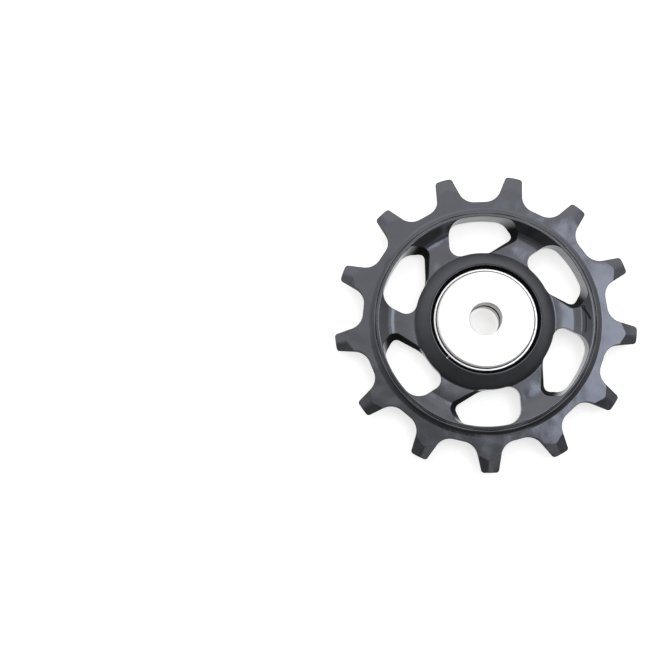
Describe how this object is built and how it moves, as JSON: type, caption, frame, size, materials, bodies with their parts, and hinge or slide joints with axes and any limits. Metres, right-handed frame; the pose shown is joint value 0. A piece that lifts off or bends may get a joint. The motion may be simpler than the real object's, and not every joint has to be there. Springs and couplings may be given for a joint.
{
  "type": "derailleur jockey wheel",
  "caption": "Black moulded toothed pulley with spoke windows and a dished face, turning on a sealed ball bearing between two bright metal caps with a bolt bore.",
  "frame": {"origin": "on the axis of the bolt bore, at the middle of the tooth thickness", "axes": "+Z along the bolt bore, out of the face with the lower rim lip; +X and +Y in the plane of the teeth"},
  "size_m": [0.0555, 0.0552, 0.0066],
  "materials": {
    "moulded_nylon": "black glass-filled nylon, semi-gloss as moulded",
    "cap_metal": "bright satin, turned face",
    "bearing_steel": "ground bearing steel",
    "ball_steel": "polished",
    "cage_plastic": "natural nylon",
    "seal_rubber": "matt"
  },
  "bodies": {
    "axle": {"front_cap": "cap_metal", "rear_cap": "cap_metal", "bearing_inner_ring": "bearing_steel"},
    "wheel": {"pulley_wheel": "moulded_nylon", "bearing_outer_ring": "bearing_steel", "front_seal": "seal_rubber", "rear_seal": "seal_rubber"},
    "ball_set": {"ball_cage": "cage_plastic", "ball_01": "ball_steel", "ball_02": "ball_steel", "ball_03": "ball_steel", "ball_04": "ball_steel", "ball_05": "ball_steel", "ball_06": "ball_steel", "ball_07": "ball_steel", "ball_08": "ball_steel", "ball_09": "ball_steel"}
  },
  "joints": [
    {"name": "wheel_spin", "type": "hinge", "parent": "axle", "child": "wheel", "pos_m": [0, 0, 0], "axis": [0, 0, 1], "continuous": true},
    {"name": "ball_set_spin", "type": "hinge", "parent": "axle", "child": "ball_set", "pos_m": [0, 0, 0], "axis": [0, 0, 1], "continuous": true}
  ],
  "couplings": [
    {"joint": "ball_set_spin", "follows": "wheel_spin", "ratio": 0.57407}
  ]
}
